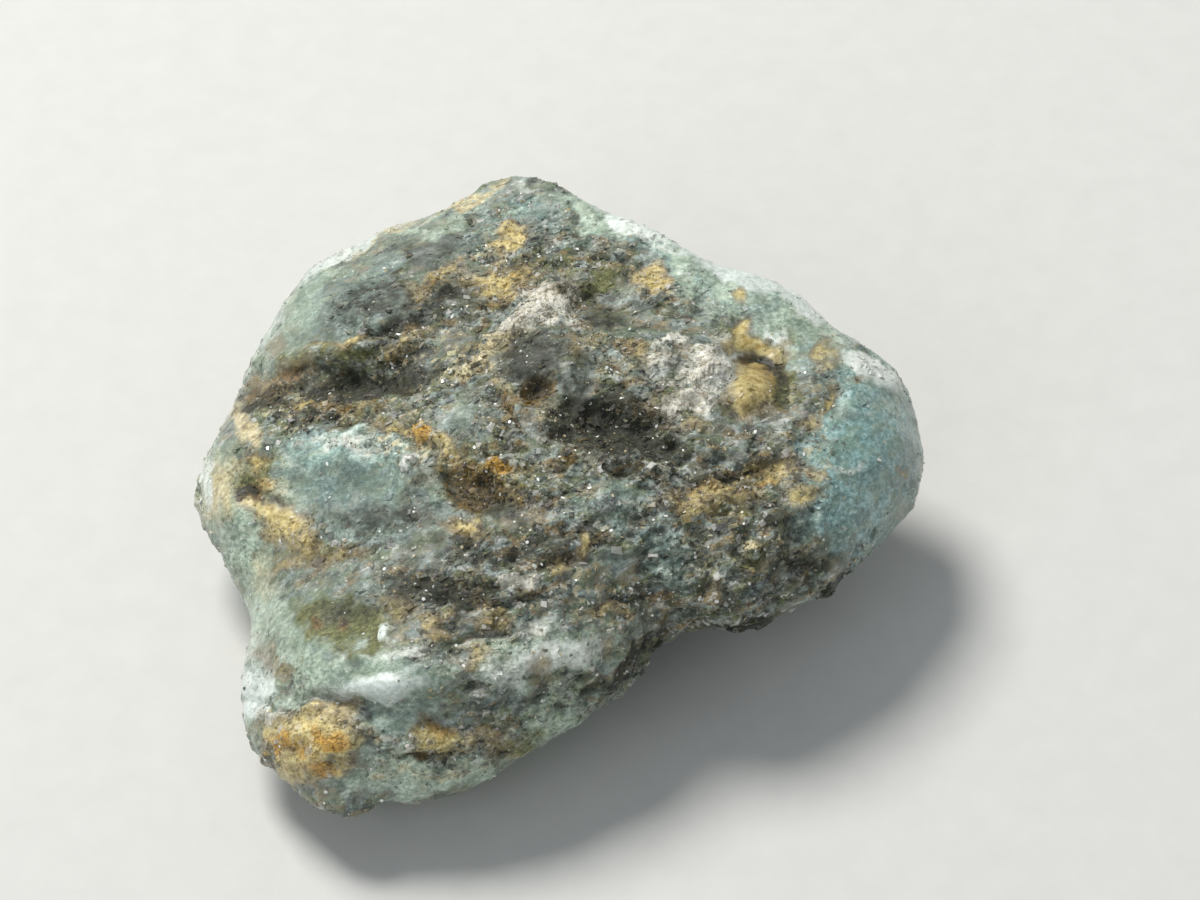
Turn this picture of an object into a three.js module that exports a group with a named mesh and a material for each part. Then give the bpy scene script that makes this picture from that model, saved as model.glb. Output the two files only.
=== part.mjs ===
// Raw grandidierite: one rough, flattened chunk of blue-green stone about 25 mm across, on its underside.
// Millimetres, +Z up. The origin is on the resting plane, under the middle of the box around the stone.
import * as THREE from "three";
import { ImprovedNoise } from "three/addons/math/ImprovedNoise.js";
import { mergeVertices } from "three/addons/utils/BufferGeometryUtils.js";

// The rim and the relief of the upper face are drawn on a sight plane, as seen from the front and above.
const sightElevation = THREE.MathUtils.degToRad(50);
const sightDistance = 130; // from the eye to the sight plane
const sightCentre = new THREE.Vector3(1.44, 1.31, 5); // where the line of sight meets the sight plane

const crown = [0.4, 0.6, 9.1]; // the middle of the upper face: across, up on the sight plane, height
const faceRound = 1.35; // how the upper face runs out from the crown: 1 is straight
const faceClimb = 1.15; // how steeply it climbs from the rim: under 1 is steeper
const rimLatitude = THREE.MathUtils.degToRad(-14); // on the starting sphere: the upper face has more skin
const upperFrom = 0.05; // height on the starting sphere where the relief has its full rise
const wallShare = 0.6; // share of the skin below the rim that is wall, before it turns under
const backBelly = 1.3; // how far the walls away from the viewer bulge past the rim
const bellyDrop = 0.6; // how far down the wall the bulge is
const footLift = 1.1; // height of the edge of the underside above the resting plane
const footSink = -0.8; // height that the middle of the underside would have if the table didn't stop it
const skinDetail = 20; // subdivisions of the starting icosahedron
const roundingPasses = 10; // how often the bare shape is rounded off before the relief is laid on
const roundingStep = 0.5; // share of the way that a place moves to the middle of its neighbours each time
const rimHold = 0.3; // share of the rounding that reaches the rim
const rimWidth = 0.3; // width of the zone beside the rim, in radians on the starting sphere

// Round the rim, clockwise from the top: across and up on the sight plane, and height above the table.
const rim = [
  [-2.9, 9.2, 8.0],
  [-1.3, 8.7, 8.3],
  [0.0, 8.0, 8.5],
  [1.4, 7.5, 8.6],
  [3.3, 6.4, 8.4],
  [5.4, 5.75, 8.0],
  [6.7, 5.1, 7.6],
  [7.6, 4.3, 7.2],
  [8.7, 3.5, 6.8],
  [9.75, 2.8, 6.3],
  [10.4, 1.7, 5.8],
  [10.9, -0.15, 5.2],
  [10.5, -1.4, 4.9],
  [10.0, -2.3, 4.7],
  [9.3, -3.0, 4.8],
  [8.6, -3.7, 5.0],
  [8.0, -4.3, 5.1],
  [6.7, -4.45, 5.3],
  [5.6, -4.9, 5.2],
  [5.2, -5.5, 5.0],
  [4.5, -5.6, 5.0],
  [3.3, -5.45, 5.2],
  [2.3, -5.2, 5.4],
  [1.7, -5.9, 5.0],
  [0.9, -7.0, 4.6],
  [0.0, -8.1, 4.2],
  [-1.3, -9.3, 3.8],
  [-2.7, -10.2, 3.4],
  [-3.8, -10.95, 3.0],
  [-4.8, -11.2, 2.8],
  [-6.0, -11.75, 2.6],
  [-7.25, -11.55, 2.5],
  [-8.2, -12.15, 2.3],
  [-8.9, -12.2, 2.2],
  [-10.0, -11.65, 2.0],
  [-11.2, -10.6, 2.0],
  [-11.85, -9.6, 2.1],
  [-12.0, -8.2, 2.3],
  [-11.65, -6.85, 2.6],
  [-11.6, -5.3, 2.9],
  [-11.9, -4.5, 3.0],
  [-12.7, -3.35, 3.1],
  [-13.45, -2.3, 3.2],
  [-13.6, -1.6, 3.3],
  [-13.2, -0.7, 3.7],
  [-12.6, 0.35, 4.1],
  [-12.0, 1.6, 4.5],
  [-11.65, 2.85, 4.9],
  [-10.8, 4.2, 5.3],
  [-10.0, 5.55, 5.8],
  [-9.0, 6.45, 6.1],
  [-8.0, 6.8, 6.4],
  [-7.2, 7.5, 6.7],
  [-6.3, 7.75, 7.0],
  [-5.5, 7.9, 7.2],
  [-4.5, 8.4, 7.5],
  [-3.5, 9.0, 7.8],
];

// Round the foot, in the same order: x and y where the walls turn under.
const foot = [
  [-2.6, 9.4],
  [2.4, 8.2],
  [6.8, 5.8],
  [10.3, 3.0],
  [9.6, 0.8],
  [5.2, 0.1],
  [1.4, -2.1],
  [-2.3, -5.3],
  [-5.6, -8.0],
  [-8.6, -8.4],
  [-9.5, -6.4],
  [-9.5, -3.0],
  [-11.0, 0.4],
  [-9.8, 3.8],
  [-6.8, 7.0],
];
const footMiddle = [-0.9, -0.2];


// Relief of the upper face: middle across and up, half length and half width, turn in degrees, and rise.
// A hollow's rise is negative.
const relief = {
  "left shoulder": [-8.6, 4.4, 3.6, 1.8, 28, 0.5],
  "cleft in the left shoulder": [-8.7, 2.0, 3.3, 1.05, 7, -0.75],
  "deep end of the cleft": [-7.9, 2.3, 1.8, 0.9, 5, -0.4],
  "ledge under the cleft": [-8.3, 0.1, 3.0, 0.8, -2, 0.35],
  "dome in the middle": [-3.2, 1.3, 2.6, 2.1, 20, 0.7],
  "pit on the dome": [-2.1, 1.9, 0.6, 0.6, 0, -0.5],
  "crest above the dome": [-1.6, 4.7, 2.2, 0.6, 32, 0.45],
  "trough behind the crest": [-0.1, 5.4, 2.4, 0.7, 14, -0.35],
  "dark hollow": [0.6, 0.7, 2.1, 0.9, -14, -0.9],
  "crusty swelling": [3.0, 2.6, 1.9, 1.4, -30, 0.45],
  "socket of the amber grain": [5.15, 2.6, 0.95, 1.5, 5, -0.9],
  "amber grain": [5.05, 2.05, 0.75, 0.75, 0, 0.75],
  "golden furrow": [4.7, -0.8, 2.0, 0.65, 14, -0.5],
  "right lobe": [8.7, 0.4, 2.4, 2.9, 0, 0.7],
  "left knob": [-12.3, -1.6, 1.3, 1.4, 0, 0.45],
  "pit in the left knob": [-11.65, -1.45, 0.42, 0.35, 20, -0.7],
  "rusty hollow": [-4.4, -0.9, 1.5, 1.1, -40, -0.5],
  "pale lens": [-8.2, -6.8, 3.0, 1.5, -12, 0.55],
  "dimple in the lens": [-8.5, -5.6, 1.3, 0.7, 0, -0.35],
  "furrow below the lens": [-8.6, -8.4, 2.9, 0.4, -10, -0.5],
  "ochre crust": [-9.7, -9.8, 1.4, 1.2, 10, 0.3],
  "fold above the front lip": [-3.4, -7.2, 3.4, 0.6, 12, 0.3],
  "notch behind the front lip": [0.9, -4.6, 1.6, 0.5, -35, -0.35],
};
const reliefFade = 1.2; // how fast a feature fades outwards

// Fracture faces on the walls and underside: which way each looks, and its distance from the middle.
const fractures = [
  [[0.5, 0.84, -0.2], 9.3],
  [[0.5, 0.7, -0.5], 8.7],
  [[-0.2, 0.8, -0.57], 9.4],
  [[-0.72, 0.69, -0.05], 10.8],
  [[-0.55, 0.58, -0.6], 8.9],
  [[0.88, 0.1, -0.46], 10.5],
  [[0.55, -0.3, -0.78], 6.8],
  [[-0.88, 0.1, -0.46], 10.6],
  [[-0.7, -0.45, -0.55], 8.8],
];
const fractureCrispness = 0.8; // 1 cuts a face dead flat
const fractureMiddle = new THREE.Vector3(-0.5, -0.8, 4.2);

// Uneven surface: size of the waves, their height, and the height of the edged waves of the broken walls.
const swells = [
  { size: 5.2, height: 0.42, broken: 0.9 },
  { size: 2.3, height: 0.2, broken: 0.4 },
  { size: 1.2, height: 0.1, broken: 0.15 },
];
const edgeLevel = 0.25; // where the edged waves have their middle height
const rimCalm = 0.35; // share of the waves that the rim keeps, so that its outline holds

const lineOfSight = new THREE.Vector3(0, -Math.cos(sightElevation), Math.sin(sightElevation));
const sightUp = new THREE.Vector3(0, Math.sin(sightElevation), Math.cos(sightElevation));
const eye = sightCentre.clone().addScaledVector(lineOfSight, sightDistance);

// The point at a height above the table that shows at a place on the sight plane.
function seenAt(across, up, height) {
  const onPlane = sightCentre.clone().addScaledVector(sightUp, up);
  onPlane.x += across;
  return eye.clone().lerp(onPlane, (height - eye.z) / (onPlane.z - eye.z));
}

// Where a point shows on the sight plane.
function placeInSight(point) {
  const ray = point.clone().sub(eye);
  ray.multiplyScalar(-sightDistance / ray.dot(lineOfSight));
  const onPlane = ray.add(eye).sub(sightCentre);
  return [onPlane.x, onPlane.dot(sightUp)];
}

const rimLine = new THREE.CatmullRomCurve3(
  rim.map(([across, up, height]) => seenAt(across, up, height)),
  true,
  "centripetal",
);
const footLine = new THREE.CatmullRomCurve3(
  foot.map(([x, y]) => new THREE.Vector3(x, y, footLift)),
  true,
  "centripetal",
);
const crownPoint = seenAt(...crown);
const footPoint = new THREE.Vector3(...footMiddle, footSink);

// The upper face: a low dome from the crown to the rim. level is 0 at the rim and 1 at the crown.
function upperPoint(rimPoint, level) {
  const turn = (level * Math.PI) / 2;
  const point = crownPoint.clone().lerp(rimPoint, Math.cos(turn) ** faceRound);
  point.z = THREE.MathUtils.lerp(rimPoint.z, crownPoint.z, Math.sin(turn) ** faceClimb);
  return point;
}

// The wall under the rim, and the underside. level is 0 at the rim and 1 in the middle of the underside.
function lowerPoint(rimPoint, foot, level) {
  if (level >= wallShare) return foot.lerp(footPoint, (level - wallShare) / (1 - wallShare));
  const outward = rimPoint.clone().sub(footPoint).setZ(0).normalize();
  const bulge = backBelly * THREE.MathUtils.smoothstep(outward.y, -0.75, 0.9);
  const belly = rimPoint.clone().addScaledVector(outward, 2 * bulge);
  belly.z = THREE.MathUtils.lerp(rimPoint.z, footLift, bellyDrop);
  return new THREE.QuadraticBezierCurve3(rimPoint, belly, foot).getPoint(level / wallShare);
}

// A point of the skin, from its direction on the starting sphere.
function skinPoint(direction) {
  const round = (Math.atan2(-direction.y, direction.x) / (2 * Math.PI) + 1.25) % 1;
  const rimPoint = rimLine.getPointAt(round);
  const latitude = Math.asin(THREE.MathUtils.clamp(direction.z, -1, 1)) - rimLatitude;
  if (latitude >= 0) return upperPoint(rimPoint, latitude / (Math.PI / 2 - rimLatitude));
  const point = lowerPoint(rimPoint, footLine.getPointAt(round), -latitude / (Math.PI / 2 + rimLatitude));
  return point.lerp(breakFaces(point), THREE.MathUtils.smoothstep(-latitude, 0, rimWidth));
}

// How far a direction on the starting sphere is from the rim, from 0 on the rim to 1 a short way off.
function distanceOffRim(direction) {
  return THREE.MathUtils.smoothstep(Math.abs(Math.asin(direction.z) - rimLatitude), 0, rimWidth);
}

// Rounds the bare shape off: every place moves towards the middle of its neighbours, less so on the rim.
function roundOff(skin, directions) {
  const places = skin.getAttribute("position");
  const corners = skin.getIndex().array;
  const neighbours = Array.from({ length: places.count }, () => new Set());
  for (let i = 0; i < corners.length; i += 3) {
    const [a, b, c] = corners.subarray(i, i + 3);
    neighbours[a].add(b).add(c);
    neighbours[b].add(c).add(a);
    neighbours[c].add(a).add(b);
  }
  const place = new THREE.Vector3();
  const other = new THREE.Vector3();
  const direction = new THREE.Vector3();
  for (let pass = 0; pass < roundingPasses; pass++) {
    const before = places.clone();
    for (let i = 0; i < places.count; i++) {
      place.fromBufferAttribute(before, i);
      direction.fromBufferAttribute(directions, i);
      const middle = new THREE.Vector3();
      for (const j of neighbours[i]) middle.add(other.fromBufferAttribute(before, j));
      middle.divideScalar(neighbours[i].size);
      place.lerp(middle, roundingStep * THREE.MathUtils.lerp(rimHold, 1, distanceOffRim(direction)));
      places.setXYZ(i, place.x, place.y, place.z);
    }
  }
}

// How much a relief feature raises a place on the sight plane: most in its middle, fading all round.
function riseOf([across, up, halfLength, halfWidth, turn, rise], place) {
  const angle = THREE.MathUtils.degToRad(turn);
  const dx = place[0] - across;
  const dy = place[1] - up;
  const along = (dx * Math.cos(angle) + dy * Math.sin(angle)) / halfLength;
  const aside = (dy * Math.cos(angle) - dx * Math.sin(angle)) / halfWidth;
  return rise * Math.exp(-reliefFade * (along * along + aside * aside));
}

function addRelief(point, isUpper) {
  const place = placeInSight(point);
  let rise = 0;
  for (const feature of Object.values(relief)) rise += riseOf(feature, place);
  return point.addScaledVector(lineOfSight, rise * isUpper);
}

function breakFaces(point) {
  const fromMiddle = point.clone().sub(fractureMiddle);
  for (const [towards, distance] of fractures) {
    const facing = new THREE.Vector3(...towards).normalize();
    const beyond = fromMiddle.dot(facing) - distance;
    if (beyond > 0) fromMiddle.addScaledVector(facing, -beyond * fractureCrispness);
  }
  return fromMiddle.add(fractureMiddle);
}

const noise = new ImprovedNoise();
function swellAt(point, isUpper) {
  let height = 0;
  for (const [octave, swell] of swells.entries()) {
    const { x, y, z } = point.clone().divideScalar(swell.size);
    const wave = noise.noise(x + 7 * octave, y + 3.3, z + 1.7);
    const edged = edgeLevel - Math.abs(noise.noise(x + 2.6, y + 9 * octave, z + 4.1));
    height += swell.height * wave + (1 - isUpper) * swell.broken * edged;
  }
  return height;
}

function stoneGeometry() {
  const sphere = new THREE.IcosahedronGeometry(1, skinDetail);
  sphere.deleteAttribute("normal");
  sphere.deleteAttribute("uv");
  const skin = mergeVertices(sphere, 1e-5);
  const places = skin.getAttribute("position");
  const directions = places.clone();
  const direction = new THREE.Vector3();
  for (let i = 0; i < places.count; i++) {
    const point = skinPoint(direction.fromBufferAttribute(directions, i));
    places.setXYZ(i, point.x, point.y, point.z);
  }
  roundOff(skin, directions);
  skin.computeVertexNormals();
  const normal = new THREE.Vector3();
  for (let i = 0; i < places.count; i++) {
    direction.fromBufferAttribute(directions, i);
    normal.fromBufferAttribute(skin.getAttribute("normal"), i);
    const point = new THREE.Vector3().fromBufferAttribute(places, i);
    const isUpper = THREE.MathUtils.smoothstep(direction.z, Math.sin(rimLatitude), upperFrom);
    const calm = THREE.MathUtils.lerp(rimCalm, 1, distanceOffRim(direction));
    const swell = calm * swellAt(point, isUpper);
    addRelief(point, isUpper).addScaledVector(normal, swell);
    places.setXYZ(i, point.x, point.y, Math.max(point.z, 0));
  }
  skin.computeVertexNormals();
  return skin;
}

const stone = new THREE.Mesh(
  stoneGeometry(),
  new THREE.MeshStandardMaterial({ color: 0x7d9188, roughness: 0.6, metalness: 0 }),
);
stone.name = "stone";

const specimen = new THREE.Group();
specimen.add(stone);

export default specimen;
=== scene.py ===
import math

import bmesh
import bpy
import numpy as np
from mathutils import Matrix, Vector, noise


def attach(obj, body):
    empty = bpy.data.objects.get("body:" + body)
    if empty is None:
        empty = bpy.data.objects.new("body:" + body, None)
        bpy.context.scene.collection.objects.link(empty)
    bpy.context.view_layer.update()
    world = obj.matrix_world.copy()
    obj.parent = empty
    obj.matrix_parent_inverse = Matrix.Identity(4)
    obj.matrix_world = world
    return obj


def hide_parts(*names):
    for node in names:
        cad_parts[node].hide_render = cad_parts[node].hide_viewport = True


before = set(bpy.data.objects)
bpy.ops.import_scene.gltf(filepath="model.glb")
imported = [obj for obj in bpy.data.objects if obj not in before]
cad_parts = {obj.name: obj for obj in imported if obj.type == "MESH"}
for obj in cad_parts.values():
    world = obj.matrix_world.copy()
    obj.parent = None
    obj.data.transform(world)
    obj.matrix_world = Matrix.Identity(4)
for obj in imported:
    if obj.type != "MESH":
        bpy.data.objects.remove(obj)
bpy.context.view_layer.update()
mm = 0.001

# How the stone was seen. Places below are in the picture's own pixels and are carried back onto the stone
sight = {
    "elevation": 50.0,          # degrees above level
    "distance": 130.0,          # mm from the camera to the aim
    "aim": (1.44, 1.31, 5.0),   # mm
    "widthSeen": 40.0,          # mm across the picture at the aim
    "pictureWide": 1200,
    "pictureHigh": 900,
}
tilt = math.radians(sight["elevation"])
toCamera = np.array((0.0, -math.cos(tilt), math.sin(tilt)))
sightUp = np.array((0.0, math.sin(tilt), math.cos(tilt)))
pixelsPerMm = sight["pictureWide"] / sight["widthSeen"]


def pictureXY(points):
    away = points / mm - np.array(sight["aim"])
    scale = sight["distance"] / (sight["distance"] - away @ toCamera) * pixelsPerMm
    x = sight["pictureWide"] / 2 + away[:, 0] * scale
    y = sight["pictureHigh"] / 2 - (away @ sightUp) * scale
    return x, y


def smoothStep(low, high, value):
    t = np.clip((value - low) / (high - low), 0.0, 1.0)
    return t * t * (3 - 2 * t)


def waves(points, size, shift):
    # gradient noise, size in mm, about -1 to 1
    return np.array([noise.noise(p) for p in (points / (size * mm) + shift).tolist()]) * 1.6


def ridges(points, size, shift):
    return 0.5 - np.abs(waves(points, size, shift))


def reachOf(x, y, spotX, spotY, halfLength, halfWidth, turn):
    # 0 in the middle of a turned ellipse and 1 on its line
    c = math.cos(math.radians(turn))
    s = math.sin(math.radians(turn))
    dx = x - spotX
    dy = spotY - y
    return np.hypot((dx * c + dy * s) / halfLength, (dy * c - dx * s) / halfWidth)


def spotsAt(spots, x, y, soft):
    # each spot: x, y, half length, half width, turn in degrees, strength
    total = np.zeros(len(x))
    for *ellipse, strength in spots.values():
        reach = reachOf(x, y, *ellipse)
        total = np.maximum(total, strength * smoothStep(1 + soft, 1 - soft, reach))
    return total


def bumpsAt(bumps, x, y):
    # each bump: x, y, half length, half width, turn in degrees, rise in mm
    total = np.zeros(len(x))
    for *ellipse, rise in bumps.values():
        total += rise * smoothStep(*skin["bumpEdge"], reachOf(x, y, *ellipse))
    return total


print("camera and light")
studio = {
    # towards the light, metres away, metres across, watts
    "key": {
        "from": (-0.34, 0.40, 0.85), "away": 0.3, "size": 0.12, "power": 0.93, "color": (1, 0.98, 0.94),
    },
    "fill": {
        "from": (-0.5, -0.7, 0.6), "away": 0.4, "size": 0.3, "power": 0.32, "color": (0.9, 0.95, 1),
    },
    "sky": (0.80, 0.84, 0.88),
    "skyStrength": 0.34,
    "floorSize": 3.0,
}


def placeCamera():
    data = bpy.data.cameras.new("sightCamera")
    data.sensor_width = 36.0
    data.lens = data.sensor_width * sight["distance"] / sight["widthSeen"]
    data.clip_start = 0.005
    data.clip_end = 10
    camera = bpy.data.objects.new("sightCamera", data)
    bpy.context.collection.objects.link(camera)
    aim = Vector(sight["aim"]) * mm
    back = Vector(toCamera)
    camera.location = aim + back * sight["distance"] * mm
    camera.rotation_mode = "QUATERNION"
    camera.rotation_quaternion = (-back).to_track_quat("-Z", "Y")
    bpy.context.scene.camera = camera


def placeSoftbox(name):
    how = studio[name]
    data = bpy.data.lights.new(name + "Softbox", "AREA")
    data.shape = "DISK"
    data.size = how["size"]
    data.energy = how["power"]
    data.color = how["color"]
    lamp = bpy.data.objects.new(name + "Softbox", data)
    bpy.context.collection.objects.link(lamp)
    direction = Vector(how["from"]).normalized()
    lamp.location = direction * how["away"]
    lamp.rotation_mode = "QUATERNION"
    lamp.rotation_quaternion = direction.to_track_quat("Z", "Y")


placeCamera()
placeSoftbox("key")
placeSoftbox("fill")
world = bpy.data.worlds.new("studioSky")
world.use_nodes = True
sky = world.node_tree.nodes["Background"].inputs
sky["Color"].default_value = (*studio["sky"], 1)
sky["Strength"].default_value = studio["skyStrength"]
bpy.context.scene.world = world
bpy.context.scene.view_settings.view_transform = "Standard"

print("fine skin of the stone")
skin = {
    "voxel": 0.123,        # mm between the points of the fine mesh
    "evenPasses": 6,       # smoothing that takes the flat triangles of the coarse solid away
    "marksFrom": (-0.6, -0.15),   # facing over which the picture's markings come in
    "reliefFrom": (0.02, 0.22),   # facing over which its fine relief comes in
    "bosses": 0.7,         # how smooth the small bosses among the raw parts are
    "bossNoise": (1.6, 95.0),     # its size in mm and shift
    "bossesFrom": (0.15, 0.5),    # where in it they start and are full
    "wanderSizes": (1.3, 0.5, 0.22),      # mm of the noise that makes the markings' edges wander
    "wanderShares": (1.0, 0.7, 0.35),
    "reliefWander": 3,     # px that the fine relief wanders
    "bumpEdge": (1.35, 0.3),      # where on its ellipse a bump starts and is full
    "levelBelow": 0.02,    # mm from the ground under which the stone is kept level
    "creviceWidth": 8,     # smoothing passes that fill a crevice
    "creviceDepth": 0.09,  # mm at which its painted shade is full
}


def fineMesh():
    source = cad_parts["stone"]
    mesh = source.data.copy()
    work = bmesh.new()
    work.from_mesh(mesh)
    work.transform(source.matrix_world)
    bmesh.ops.remove_doubles(work, verts=work.verts, dist=1e-7)
    work.to_mesh(mesh)
    work.free()
    mesh.materials.clear()
    draft = bpy.data.objects.new("stoneDraft", mesh)
    bpy.context.collection.objects.link(draft)
    remesh = draft.modifiers.new("fine", "REMESH")
    remesh.mode = "VOXEL"
    remesh.voxel_size = skin["voxel"] * mm
    remesh.use_smooth_shade = True
    graph = bpy.context.evaluated_depsgraph_get()
    fine = bpy.data.meshes.new_from_object(draft.evaluated_get(graph), depsgraph=graph)
    bpy.data.objects.remove(draft)
    return fine


def pointsOf(mesh):
    flat = np.empty(len(mesh.vertices) * 3)
    mesh.vertices.foreach_get("co", flat)
    return flat.reshape(-1, 3)


def setPoints(mesh, points):
    mesh.vertices.foreach_set("co", points.ravel())
    mesh.update()


def normalsOf(mesh):
    flat = np.empty(len(mesh.vertices) * 3)
    mesh.vertex_normals.foreach_get("vector", flat)
    return flat.reshape(-1, 3)


def smoothed(mesh, points, passes):
    ends = np.empty(len(mesh.edges) * 2, dtype=np.int64)
    mesh.edges.foreach_get("vertices", ends)
    a, b = ends.reshape(-1, 2).T
    count = np.bincount(a, minlength=len(points)) + np.bincount(b, minlength=len(points))
    for _ in range(passes):
        total = np.zeros_like(points)
        for axis in range(3):
            total[:, axis] = np.bincount(a, points[b, axis], len(points))
            total[:, axis] += np.bincount(b, points[a, axis], len(points))
        points = points * 0.5 + 0.5 * total / count[:, None]
    return points


# Markings, named for what they are: x, y, half length, half width, turn, strength. Some dark ones are
# painted shade and some light ones are painted highlights
paleSpots = {
    "shoulder margin": (284, 312, 84, 30, 60, 0.68),
    "shoulder top": (345, 250, 62, 22, 32, 0.7),
    "shoulder to the apex": (430, 218, 78, 15, 24, 0.8),
    "lens foot": (330, 704, 62, 8, -8, 0.9),
    "front hollow": (400, 715, 60, 14, 4, 0.5),
    "left knob": (220, 485, 30, 38, 0, 1.0),
    "under the knob": (245, 545, 26, 52, 20, 0.95),
    "left flank": (262, 600, 22, 56, 0, 0.9),
    "lens west": (280, 640, 30, 34, 0, 0.75),
    "lens": (330, 655, 54, 20, -12, 0.45),
    "lens band": (350, 676, 78, 24, 0, 0.95),
    "lower left margin": (252, 695, 18, 44, 0, 1.0),
    # pale stone with a painted highlight along the upper right edge
    "upper right edge": (722, 268, 128, 20, -27, 1.0),
    "upper right inside": (700, 294, 70, 14, -22, 0.6),
    "upper right apex edge": (600, 214, 52, 12, -24, 0.9),
    "edge beside the lobe": (806, 318, 54, 22, -35, 0.95),
    "beside the amber": (790, 335, 22, 30, -30, 0.9),
    "front lip": (430, 776, 90, 14, 4, 0.95),
    "front left": (345, 796, 50, 13, -5, 0.25),
    "front right lip": (545, 722, 56, 20, 28, 0.9),
    "front middle": (420, 755, 90, 20, 4, 0.6),
    "lower middle": (545, 655, 74, 26, 12, 0.85),
    "lower middle west": (440, 680, 64, 18, 8, 0.5),
    "lobe crown": (870, 368, 42, 20, -38, 0.9),
    "knob east": (270, 490, 32, 30, -20, 0.8),
    "boss": (455, 418, 26, 20, 20, 0.35),
    # painted highlight on the top of the ledge
    "sheen": (350, 452, 62, 16, 0, 0.5),
    "beside the apex": (500, 215, 30, 10, 0, 0.3),
}
tealSpots = {
    "right lobe": (866, 445, 58, 66, 0, 1.0),
    "right lobe front": (842, 494, 52, 42, -20, 1.0),
    "right lobe back": (884, 395, 34, 44, 30, 0.9),
    "lobe wall": (878, 545, 40, 20, 35, 1.0),
    "shoulder pool": (375, 300, 52, 26, 22, 1.0),
    "shoulder foot": (325, 325, 60, 12, 25, 0.5),
    "shoulder": (310, 300, 50, 26, 55, 0.8),
    "apex": (530, 208, 44, 22, -10, 0.7),
    "below the apex": (485, 238, 44, 15, 8, 0.7),
    "beside the apex": (575, 240, 44, 18, -14, 0.5),
    "ledge": (342, 484, 104, 42, -3, 1.0),
    "ledge front": (372, 516, 74, 22, 4, 0.9),
    "lens": (315, 640, 66, 26, -12, 0.7),
    "lens cap": (330, 594, 56, 12, 0, 0.6),
    "lower furrow": (310, 694, 46, 8, -14, 0.5),
    "front hollow": (395, 718, 60, 18, 4, 1.0),
    "lower middle": (520, 672, 46, 16, 14, 0.4),
    "middle": (622, 500, 56, 34, -6, 0.6),
    "under the edge": (700, 300, 46, 12, -25, 0.5),
    "upper middle": (470, 250, 66, 28, 5, 0.6),
    "lower east": (520, 618, 46, 22, 10, 0.5),
    "right low": (660, 555, 54, 22, 0, 0.65),
    "boss": (460, 430, 24, 30, 10, 0.5),
}
aquaSpots = {
    "right lobe": (868, 440, 58, 74, 0, 1.0),
    "right lobe front": (848, 498, 52, 40, -20, 1.0),
    "right lobe back": (884, 392, 36, 46, 30, 1.0),
    "beside the lobe": (798, 342, 40, 26, -30, 0.6),
    "lobe crown": (868, 372, 44, 24, -38, 1.0),
    # aqua stone with a painted highlight along the upper right edge
    "upper right edge": (722, 270, 130, 22, -27, 1.0),
    "upper right apex edge": (610, 218, 52, 14, -24, 0.8),
    "lobe wall": (878, 545, 40, 20, 35, 0.6),
    "lower middle": (560, 655, 60, 22, 14, 0.5),
    "lens band": (380, 684, 60, 16, 0, 0.7),
    "left margin": (256, 695, 18, 30, 0, 0.8),
    # painted highlight on the top of the ledge
    "sheen": (340, 450, 60, 16, 0, 0.8),
    "apex": (520, 210, 50, 18, -10, 0.3),
}
# Dark marks: partly the stone's dark green and brown minerals, partly painted shade in the cleft, the
# hollow, the pits, under the rim, in the amber socket and on the low side of the ledge
darkAndShadeSpots = {
    # painted shade in the cleft, over its dark brown
    "cleft": (362, 386, 58, 13, 4, 1.0),
    "roof of the cleft": (360, 370, 44, 8, 5, 0.4),
    "end of the cleft": (416, 372, 40, 10, 14, 0.7),
    "mouth of the cleft": (268, 408, 28, 7, 5, 0.9),
    "cleft mouth shade": (282, 392, 36, 9, 4, 0.5),
    "lip of the cleft": (330, 415, 66, 6, 2, 0.65),
    # painted shade in the dark hollow
    "hollow": (605, 425, 60, 33, -8, 1.0),
    "hollow front": (648, 446, 36, 11, -5, 0.95),
    "hollow back": (585, 392, 30, 14, 0, 0.6),
    "above the dome": (432, 302, 46, 15, 16, 0.65),
    "shoulder foot": (398, 325, 30, 10, 22, 0.7),
    "shoulder pool": (372, 300, 44, 20, 22, 0.62),
    "shoulder clouds": (318, 330, 26, 14, 30, 0.4),
    "shoulder clouds north": (440, 252, 50, 16, 14, 0.5),
    "amber side": (786, 378, 10, 26, 0, 0.5),
    "beside the crest": (440, 350, 46, 9, 20, 0.45),
    "behind the crust": (602, 318, 26, 15, -10, 0.65),
    "behind the crest": (575, 290, 24, 14, 10, 0.5),
    "dome": (535, 362, 44, 28, 0, 0.7),
    "dome east": (575, 372, 20, 22, 0, 0.5),
    "lower middle": (478, 548, 74, 17, -5, 0.52),
    "lower middle west": (440, 592, 62, 24, 4, 0.7),
    "lower middle south": (470, 628, 44, 14, 4, 0.5),
    "lens cap": (348, 612, 40, 14, 0, 0.52),
    "below the rust": (505, 512, 26, 13, -20, 0.7),
    "rusty hollow": (478, 490, 30, 16, -15, 0.5),
    "beside the notch": (545, 548, 34, 15, 0, 0.45),
    "right front": (792, 522, 28, 18, -10, 0.45),
    "right front edge": (805, 560, 46, 16, 12, 0.55),
    "before the lobe": (762, 502, 22, 10, 0, 0.6),
    "lip grain": (722, 588, 15, 12, 0, 0.5),
    # painted shadow under the overhanging rim
    "under the rim": (760, 625, 70, 9, 12, 0.9),
    "under the rim east": (850, 582, 40, 9, 38, 0.8),
    "under the rim west": (622, 668, 56, 8, 42, 0.8),
    # painted shade in the knob's pit, with its dark brown
    "knob pit": (250, 493, 9, 7, 20, 1.0),
    "knob crease": (277, 496, 9, 5, -30, 0.6),
    # painted shade in the dome's pit, with its brown
    "dome pit": (537, 391, 9, 7, 0, 0.5),
    "furrow floor": (738, 481, 34, 4, 12, 0.7),
    # painted shadow line under the amber recess
    "amber socket": (768, 366, 20, 5, 0, 0.85),
    "front groove": (470, 715, 60, 5, 10, 0.3),
    "west of the pit": (470, 392, 20, 12, 10, 0.3),
    "ledge end": (420, 490, 14, 30, -20, 0.45),
    # painted shade on the low side of the ledge
    "ledge low": (380, 517, 60, 15, 0, 0.62),
}
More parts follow.
